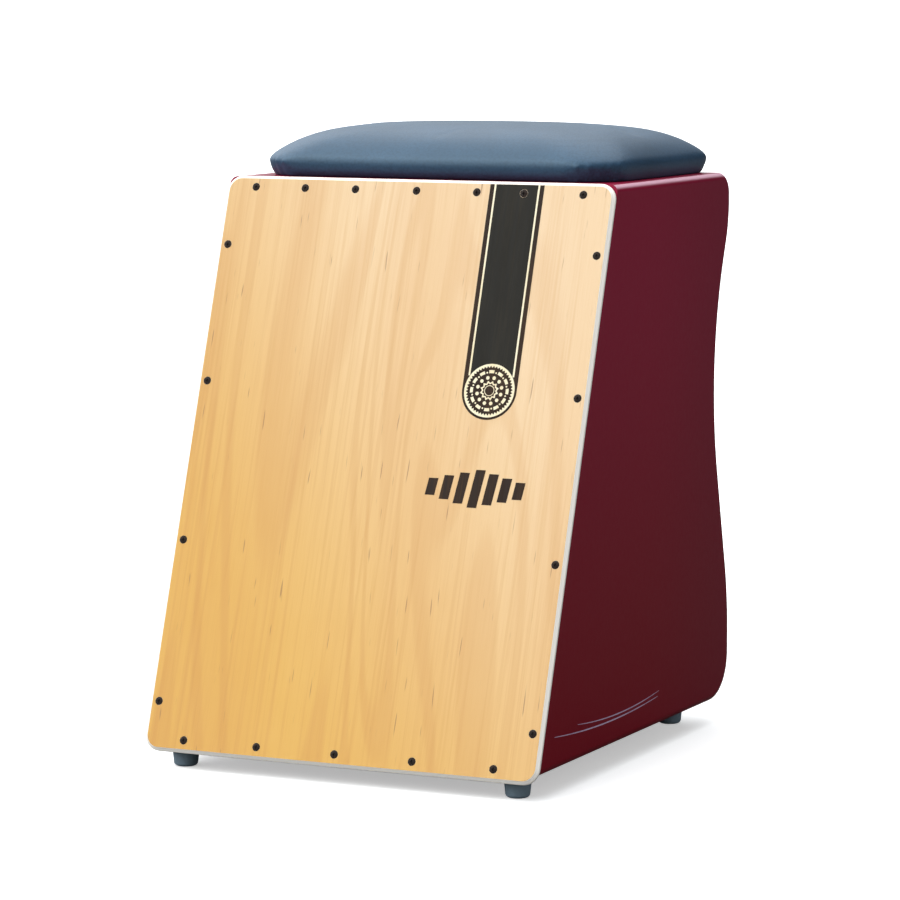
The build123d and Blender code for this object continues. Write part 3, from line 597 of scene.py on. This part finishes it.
rosette = [toothed(RIM_RADIUS, RIM_TOOTH, TEETH)]
for petal in range(PETALS):
    between_windows = 360 * petal / PETALS + 180 / PETALS
    rosette.append(window(petal, PETALS, WINDOW_INNER, WINDOW_OUTER, WINDOW_SHARE))
    rosette.append(circle(polar(between_windows, BEAD_REACH), BEAD_RADIUS, 12))
    rosette.append(circle(polar(between_windows, PETAL_REACH), PETAL_RADIUS, 16))
rosette.append(toothed(STAR_RADIUS, STAR_TOOTH, PETALS))
rosette.append(toothed(HUB_RADIUS, HUB_TOOTH, PETALS))
rosette.append(circle(disc_middle, EYE_OUTER, 40))
rosette.append(circle(disc_middle, EYE_INNER, 40))
print_on_tapa("print_rosette", rosette, 2, ink_brown)

# A plain row of slanted bars, tallest in the middle.
BAR_COUNT = 7
BAR_LEAN = 4 * MM
BAR_GAP = 4.2 * MM
BAR_DROP = 0.55                        # how much shorter the end bars are than the middle one
bar_pitch = (MARK_SIZE[0] - BAR_LEAN + BAR_GAP) / BAR_COUNT
middle_bar = (BAR_COUNT - 1) / 2
bars = []
for index in range(BAR_COUNT):
    left = MARK_CENTRE[0] - MARK_SIZE[0] / 2 + index * bar_pitch
    right = left + bar_pitch - BAR_GAP
    swell = 1 - BAR_DROP * abs(index - middle_bar) / middle_bar
    half = MARK_SIZE[1] / 2 * swell
    lean = BAR_LEAN * swell
    top, foot = MARK_CENTRE[1] - half, MARK_CENTRE[1] + half
    bars.append([(left + lean, top), (right + lean, top), (right, foot), (left, foot)])
print_on_tapa("print_mark", bars, 0, ink_brown)

# ---- pinstripes on the right side panel ------------------------------------------
PIN_THICK = 0.06 * MM
PIN_STEPS = 24
PIN_TIP = 0.06                         # cut off each end, so that the tips stay blunt
PIN_FULLNESS = 0.6                     # under 1 the line swells sooner from its tips
ink_lavender = ink_finish("ink_lavender", srgb(196, 178, 206), srgb(176, 152, 184))
side_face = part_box("side_panel_right")[1].x


def pinstripe(name, start, middle, end, width):
    """A thin tapered line through three (y, z) points, bowed down in its middle."""
    upper, lower = [], []
    for step in range(PIN_STEPS + 1):
        t = step / PIN_STEPS
        y = start[0] + (end[0] - start[0]) * t
        bow = 4 * t * (1 - t) * (middle - (start[1] + end[1]) / 2)
        z = start[1] + (end[1] - start[1]) * t + bow
        swell = math.sin(math.pi * (PIN_TIP + (1 - 2 * PIN_TIP) * t)) ** PIN_FULLNESS
        half = width / 2 * swell
        upper.append((y, z + half))
        lower.append((y, z - half))
    mesh = flat_solid(name, [upper + lower[::-1]], PIN_THICK)
    for vertex in mesh.vertices:
        lift = side_face + INK_LIFT + PIN_THICK / 2 + vertex.co.z
        vertex.co = (lift, vertex.co.x, vertex.co.y)
    return add_piece(name, mesh, "painted_wood", "box", ink_lavender)


pinstripe("pinstripe_lower", (-0.167, 0.0463), 0.0405, (0.0382, 0.0441), 1.1 * MM)
pinstripe("pinstripe_upper", (-0.123, 0.0486), 0.0438, (0.0413, 0.0484), 0.9 * MM)

# ---- snare wires -----------------------------------------------------------------
WIRE_COUNT = 10
WIRE_SPREAD = 36 / 39                  # first wire's middle to the last's, over the whole width
WIRE_THICK = 0.56 * MM
TURN_PITCH = 1.9 * MM
TURN_STEPS = 12
WIRE_SIDES = 6


def coil(centre, reach, length, turns):
    """Points of a helix that runs down the slope from a point."""
    points = []
    for step in range(turns * TURN_STEPS + 1):
        angle = 2 * math.pi * step / TURN_STEPS
        along = length * step / (turns * TURN_STEPS)
        ring = Vector((math.cos(angle), 0, 0)) + TO_PLAYER * math.sin(angle)
        points.append(centre + DOWN_SLOPE * along + ring * reach)
    return points


def sweep(shape, path, radius, sides):
    """Adds a closed round tube along a path of points."""
    rings = []
    for index, point in enumerate(path):
        ahead = path[min(index + 1, len(path) - 1)] - path[max(index - 1, 0)]
        across = ahead.cross(DOWN_SLOPE).normalized()
        upward = across.cross(ahead).normalized()
        ring = []
        for side in range(sides):
            angle = 2 * math.pi * side / sides
            offset = across * math.cos(angle) + upward * math.sin(angle)
            ring.append(shape.verts.new(point + offset * radius))
        rings.append(ring)
    for first, second in zip(rings, rings[1:]):
        for side in range(sides):
            after = (side + 1) % sides
            shape.faces.new((first[side], first[after], second[after], second[side]))
    shape.faces.new(rings[0][::-1])
    shape.faces.new(rings[-1])


for hand in ("left", "right"):
    cad_node = f"snare_wires_{hand}"
    low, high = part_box(cad_node)
    outer = (high.x - low.x) * (1 - WIRE_SPREAD) / 2
    wires = bmesh.new()
    length = (high.z - low.z - 2 * outer * math.sin(TILT)) / math.cos(TILT)
    top_middle = Vector((0, high.y, high.z)) - Vector(
        (0, outer * math.cos(TILT), outer * math.sin(TILT))
    )
    pitch = (high.x - low.x - 2 * outer) / (WIRE_COUNT - 1)
    for index in range(WIRE_COUNT):
        start = top_middle + Vector((low.x + outer + pitch * index, 0, 0))
        helix = coil(start, outer - WIRE_THICK / 2, length, round(length / TURN_PITCH))
        sweep(wires, helix, WIRE_THICK / 2, WIRE_SIDES)
    bmesh.ops.recalc_face_normals(wires, faces=wires.faces)
    mesh = bpy.data.meshes.new(f"snare_coils_{hand}")
    wires.to_mesh(mesh)
    wires.free()
    mesh.shade_smooth()
    piece = add_piece(f"snare_coils_{hand}", mesh, "snare_wire", "snare")
    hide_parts(cad_node)

# ---- seat cushion ----------------------------------------------------------------
SEAT_CORNER = 39 * MM                  # of the plan, at the widest line
CORNER_GROWTH = 0.5                    # how much rounder the plan gets as it draws in
BAND_HEIGHT = 14.5 * MM
BAND_TAPER = 3.5 * MM
SHOULDER_RADIUS = 66.5 * MM
SHOULDER_START = math.radians(52.5)
SHOULDER_END = math.radians(5.5)
SHOULDER_STEPS = 12
CROWN_INSET = 88 * MM
CROWN_STEPS = 6
SIM_SHRINK = 1.6 * MM                  # the form swells back to size in the simulation
COVER_THICK = 1.5 * MM
HEM_MARGIN = 37 * MM                   # opening of the hem, in from the widest line
BOARD_MARGIN = 11 * MM
BOARD_CORNER = 36 * MM
VOXEL = 4 * MM
SWELL_CAP = 4 * MM
SIM_FRAMES = 20
SIM_PRESSURE = 4.0
SOFTEN_STEPS = 2
FLOOR_BAND = 0.3                       # of a voxel: the underside that is made flat
HELD_BAND = 0.6                        # of a voxel: the underside that the board holds
FOAM_GAP = 0.15 * MM

seat_low, seat_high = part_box("seat_cover")
seat_middle = (seat_low + seat_high) / 2
seat_half = (seat_high - seat_low) / 2
seat_height = seat_high.z - seat_low.z


def cushion_levels():
    """How far the plan draws in, and its height, from the underside up to the crown."""
    levels = [(BAND_TAPER, 0.0), (0.0, BAND_HEIGHT)]
    turn = SHOULDER_END - SHOULDER_START
    for step in range(1, SHOULDER_STEPS + 1):
        slope = SHOULDER_START + turn * step / SHOULDER_STEPS
        inset = SHOULDER_RADIUS * (math.sin(SHOULDER_START) - math.sin(slope))
        rise = SHOULDER_RADIUS * (math.cos(slope) - math.cos(SHOULDER_START))
        levels.append((inset, BAND_HEIGHT + rise))
    roll_inset, roll_height = levels[-1]
    for step in range(1, CROWN_STEPS + 1):
        share = step / CROWN_STEPS
        inset = roll_inset + (CROWN_INSET - roll_inset) * share
        rise = 1 - (1 - share) ** 2
        levels.append((inset, roll_height + (seat_height - roll_height) * rise))
    return levels


def rounded_plan(margin, corner):
    """A rounded rectangle about the middle of the seat, in from its widest line."""
    half_x = seat_half.x - margin
    half_y = seat_half.y - margin
    loop = []
    for sign_x, sign_y, start in ((1, 1, 0), (-1, 1, 90), (-1, -1, 180), (1, -1, 270)):
        middle_x = seat_middle.x + sign_x * (half_x - corner)
        middle_y = seat_middle.y + sign_y * (half_y - corner)
        loop += arc((middle_x, middle_y), corner, start, start + 90, 10)
    return loop


def stacked(name, rings):
    """A closed solid through level loops of equal length, each given with its height."""
    shape = bmesh.new()
    rows = [[shape.verts.new((x, y, z)) for x, y in loop] for loop, z in rings]
    for below, above in zip(rows, rows[1:]):
        for index in range(len(below)):
            after = (index + 1) % len(below)
            shape.faces.new((below[index], below[after], above[after], above[index]))
    shape.faces.new(rows[0][::-1])
    shape.faces.new(rows[-1])
    mesh = bpy.data.meshes.new(name)
    shape.to_mesh(mesh)
    shape.free()
    return mesh


def working_object(mesh):
    """Puts a mesh in the scene for the modifiers to work on."""
    piece = bpy.data.objects.new(mesh.name, mesh)
    scene.collection.objects.link(piece)
    return piece


def seat_block(name, margin, corner, z_low, z_high):
    """A rounded block in the plan of the seat."""
    plan = rounded_plan(margin, corner)
    return working_object(stacked(name, [(plan, z_low), (plan, z_high)]))


def applied(piece):
    """The mesh of a working object with its modifiers applied. The object is used up."""
    bpy.context.view_layer.update()
    mesh = bpy.data.meshes.new_from_object(
        piece.evaluated_get(bpy.context.evaluated_depsgraph_get())
    )
    bpy.data.objects.remove(piece)
    return mesh


def cut_away(mesh, *tools):
    """The mesh less each tool. The tools are used up."""
    piece = working_object(mesh)
    for tool in tools:
        cut = piece.modifiers.new("cut", "BOOLEAN")
        cut.operation = "DIFFERENCE"
        cut.solver = "EXACT"
        cut.object = tool
    result = applied(piece)
    for tool in tools:
        bpy.data.objects.remove(tool)
    return result


def cushion_start():
    """The cushion before it is pressed out."""
    rings = []
    for inset, height in cushion_levels():
        margin = inset + SIM_SHRINK
        corner = min(SEAT_CORNER + CORNER_GROWTH * inset, seat_half.y - margin - MM)
        lowered = SIM_SHRINK * height / seat_height
        rings.append((rounded_plan(margin, corner), seat_low.z + height - lowered))
    return stacked("cushion_start", rings)


def evened(mesh):
    """An even mesh of the form, its edges a little softer and its underside flat."""
    piece = working_object(mesh)
    voxels = piece.modifiers.new("voxels", "REMESH")
    voxels.mode = "VOXEL"
    voxels.voxel_size = VOXEL
    soften = piece.modifiers.new("soften", "SMOOTH")
    soften.factor = 0.5
    soften.iterations = SOFTEN_STEPS
    even = applied(piece)
    lowest = min(vertex.co.z for vertex in even.vertices)
    for vertex in even.vertices:
        if vertex.co.z < lowest + VOXEL * FLOOR_BAND:
            vertex.co.z = seat_low.z
    return even


def inflated(mesh):
    """Cloth pressed out from inside, its underside held to the board."""
    piece = working_object(mesh)
    rest = [vertex.co.copy() for vertex in mesh.vertices]
    held = piece.vertex_groups.new(name="held")
    held_line = seat_low.z + VOXEL * HELD_BAND
    for index, point in enumerate(rest):
        if point.z < held_line:
            held.add([index], 1.0, "REPLACE")
    cloth = piece.modifiers.new("cloth", "CLOTH")
    settings = cloth.settings
    settings.quality = 6
    settings.mass = 0.35
    settings.tension_stiffness = 60
    settings.compression_stiffness = 60
    settings.shear_stiffness = 30
    settings.bending_stiffness = 8
    settings.use_pressure = True
    settings.uniform_pressure_force = SIM_PRESSURE
    settings.vertex_group_mass = "held"
    settings.effector_weights.gravity = 0
    cloth.point_cache.frame_start = 1
    cloth.point_cache.frame_end = SIM_FRAMES
    for number in range(1, SIM_FRAMES + 1):
        scene.frame_set(number)
    swollen = applied(piece)
    scene.frame_set(1)
    for vertex, start in zip(swollen.vertices, rest):
        move = vertex.co - start
        if move.length > SWELL_CAP:
            vertex.co = start + move * (SWELL_CAP / move.length)
    return swollen


def fitted(mesh):
    """The form stretched a little so that it fills the seat's own box again."""
    points = [vertex.co.copy() for vertex in mesh.vertices]
    for axis, (low, high) in enumerate(zip(seat_low, seat_high)):
        least = min(point[axis] for point in points)
        stretch = (high - low) / (max(point[axis] for point in points) - least)
        for vertex, point in zip(mesh.vertices, points):
            vertex.co[axis] = low + (point[axis] - least) * stretch
    return mesh


def refined(mesh):
    """One level of subdivision, applied."""
    piece = working_object(mesh)
    fine = piece.modifiers.new("fine", "SUBSURF")
    fine.levels = 1
    return applied(piece)


TUCK_DEPTH = 0.7 * MM
TUCK_SPREAD = math.radians(15)
TUCK_RISE = 3 * MM
TUCK_REACH = 9 * MM
TUCK_START = 0.5 * MM


def tucked(mesh):
    """Small upright folds where the vinyl is gathered round the corners."""
    corner_x = seat_half.x - SEAT_CORNER
    corner_y = seat_half.y - SEAT_CORNER
    for vertex in mesh.vertices:
        offset = vertex.co - seat_middle
        past_x = abs(offset.x) - corner_x
        past_y = abs(offset.y) - corner_y
        rise = vertex.co.z - seat_low.z
        if past_x <= 0 or past_y <= 0 or rise < TUCK_START:
            continue
        angle = math.atan2(past_y, past_x) - math.pi / 4
        reach = math.exp(-(((rise - TUCK_RISE) / TUCK_REACH) ** 2))
        fan = math.cos(2 * angle)
        fold = math.cos(angle / TUCK_SPREAD * 2 * math.pi)
        outward = Vector((math.copysign(past_x, offset.x), math.copysign(past_y, offset.y), 0))
        vertex.co += outward.normalized() * (fold - 1) * 0.5 * TUCK_DEPTH * reach * fan
    return mesh


def drawn_in(mesh, distance):
    """A copy of a closed mesh moved in along its own normals."""
    inner = mesh.copy()
    for vertex, outer in zip(inner.vertices, mesh.vertices):
        vertex.co = outer.co - outer.normal * distance
    return inner


form = evened(cushion_start())
form = inflated(form)
form = tucked(fitted(refined(form)))

opening = seat_block(
    "opening", HEM_MARGIN, SEAT_CORNER / 2, seat_low.z - 5 * MM, seat_low.z + 2 * COVER_THICK
)
lining = working_object(drawn_in(form, COVER_THICK))
foam_mesh = drawn_in(form, COVER_THICK + FOAM_GAP)
cover_mesh = cut_away(form, lining, opening)
cover_mesh.shade_smooth()
cushion = add_piece("seat_cushion_cover", cover_mesh, "vinyl", "box")
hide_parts("seat_cover")

board_low, board_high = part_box("seat_board")
pocket = seat_block(
    "pocket",
    BOARD_MARGIN - FOAM_GAP,
    BOARD_CORNER,
    board_low.z - 10 * MM,
    board_high.z + FOAM_GAP,
)
foam_mesh = cut_away(foam_mesh, pocket)
foam_mesh.shade_smooth()
foam = add_piece("seat_cushion_foam", foam_mesh, "foam", "box")
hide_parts("seat_foam")

# ---- floor, light and camera -----------------------------------------------------
FLOOR_RADIUS = 300.0
PAPER_BOUNCE = (0.12, 0.12, 0.12, 1)
PAPER_GLOW = 0.43


def floor_finish():
    """White lit paper to look at, and a mid grey in what it throws back on the object."""
    finish = Finish("studio_paper", Roughness=0.9, Specular_IOR_Level=0.0)
    cloud = finish.noise(finish.place((1.5, 1.5, 1.5)), detail=2)
    white = finish.mix(finish.span(cloud, 0.3, 0.7), (0.95, 0.95, 0.95, 1), (0.97, 0.97, 0.97, 1))
    seen = finish.nodes.new("ShaderNodeLightPath").outputs["Is Camera Ray"]
    finish.colour(finish.mix(seen, PAPER_BOUNCE, white))
    finish.shader.inputs["Emission Color"].default_value = (1, 1, 1, 1)
    finish.feed(
        finish.shader.inputs["Emission Strength"], finish.math("MULTIPLY", seen, PAPER_GLOW)
    )
    return finish.material


floor_mesh = bpy.data.meshes.new("floor")
floor_shape = bmesh.new()
bmesh.ops.create_circle(floor_shape, cap_ends=True, segments=96, radius=FLOOR_RADIUS)
floor_shape.to_mesh(floor_mesh)
floor_shape.free()
floor = bpy.data.objects.new("floor", floor_mesh)
scene.collection.objects.link(floor)
floor_mesh.materials.append(floor_finish())


def sun(name, azimuth, elevation, strength, spread):
    """A soft distant light from a compass direction: 0 is in front, 90 to the right."""
    lamp = bpy.data.lights.new(name, "SUN")
    lamp.energy = strength
    lamp.angle = math.radians(spread)
    holder = bpy.data.objects.new(name, lamp)
    scene.collection.objects.link(holder)
    a, e = math.radians(azimuth), math.radians(elevation)
    source = Vector((math.sin(a) * math.cos(e), -math.cos(a) * math.cos(e), math.sin(e)))
    holder.rotation_mode = "QUATERNION"
    holder.rotation_quaternion = source.to_track_quat("Z", "Y")
    return holder


sun("key", -34, 38, 1.52, 60)
sun("overhead", 244, 66, 0.9, 100)
fill = sun("fill", 78, 18, 0.8, 60)
fill.visible_glossy = False            # a matt wash, with no shine of its own

DARK_SIDE_LIGHT = 0.05
SOFTBOX_LIGHT = 1.9
TO_SOFTBOX = (-0.6, 0.0, 0.8)        # above and to the left; the right hand side is dark

world = bpy.data.worlds.new("studio")
scene.world = world
world.use_nodes = True
sky = world.node_tree


def sky_node(kind, **inputs):
    """A node of the world, with values or sources for its inputs."""
    node = sky.nodes.new(kind)
    for name, source in inputs.items():
        socket = node.inputs[name.replace("_", " ")]
        if isinstance(source, bpy.types.NodeSocket):
            sky.links.new(source, socket)
        else:
            socket.default_value = source
    return node


direction = sky_node("ShaderNodeTexCoord").outputs["Generated"]
towards = sky_node("ShaderNodeVectorMath")
towards.operation = "DOT_PRODUCT"
sky.links.new(direction, towards.inputs[0])
towards.inputs[1].default_value = TO_SOFTBOX
softbox = sky_node(
    "ShaderNodeMapRange",
    Value=towards.outputs["Value"],
    From_Min=0.1,
    From_Max=0.9,
    To_Min=DARK_SIDE_LIGHT,
    To_Max=SOFTBOX_LIGHT,
).outputs["Result"]
background = sky_node("ShaderNodeBackground", Color=(0.92, 0.97, 1.0, 1), Strength=softbox)
backdrop = sky_node("ShaderNodeBackground", Color=(1, 1, 1, 1), Strength=1.0)
choice = sky_node("ShaderNodeMixShader")
sky.links.new(sky_node("ShaderNodeLightPath").outputs["Is Camera Ray"], choice.inputs[0])
sky.links.new(background.outputs[0], choice.inputs[1])
sky.links.new(backdrop.outputs[0], choice.inputs[2])
sky.links.new(choice.outputs[0], sky.nodes["World Output"].inputs["Surface"])

AZIMUTH = math.radians(25.32)
PITCH = math.radians(6.75)
RANGE = 3.057
LENS = 156.7
SENSOR = 36
AIM_OFFSET = Vector((0.0508, 0.0259, 0.0148))     # from the middle of the tapa

view_line = Vector(
    (-math.sin(AZIMUTH) * math.cos(PITCH), math.cos(AZIMUTH) * math.cos(PITCH), -math.sin(PITCH))
)
lens = bpy.data.cameras.new("camera")
lens.lens = LENS
lens.sensor_width = SENSOR
camera = bpy.data.objects.new("camera", lens)
scene.collection.objects.link(camera)
camera.location = tapa_point(0, TAPA_LENGTH / 2) + AIM_OFFSET - view_line * RANGE
camera.rotation_mode = "QUATERNION"
camera.rotation_quaternion = view_line.to_track_quat("-Z", "Y")
scene.camera = camera

scene.view_settings.view_transform = "Standard"
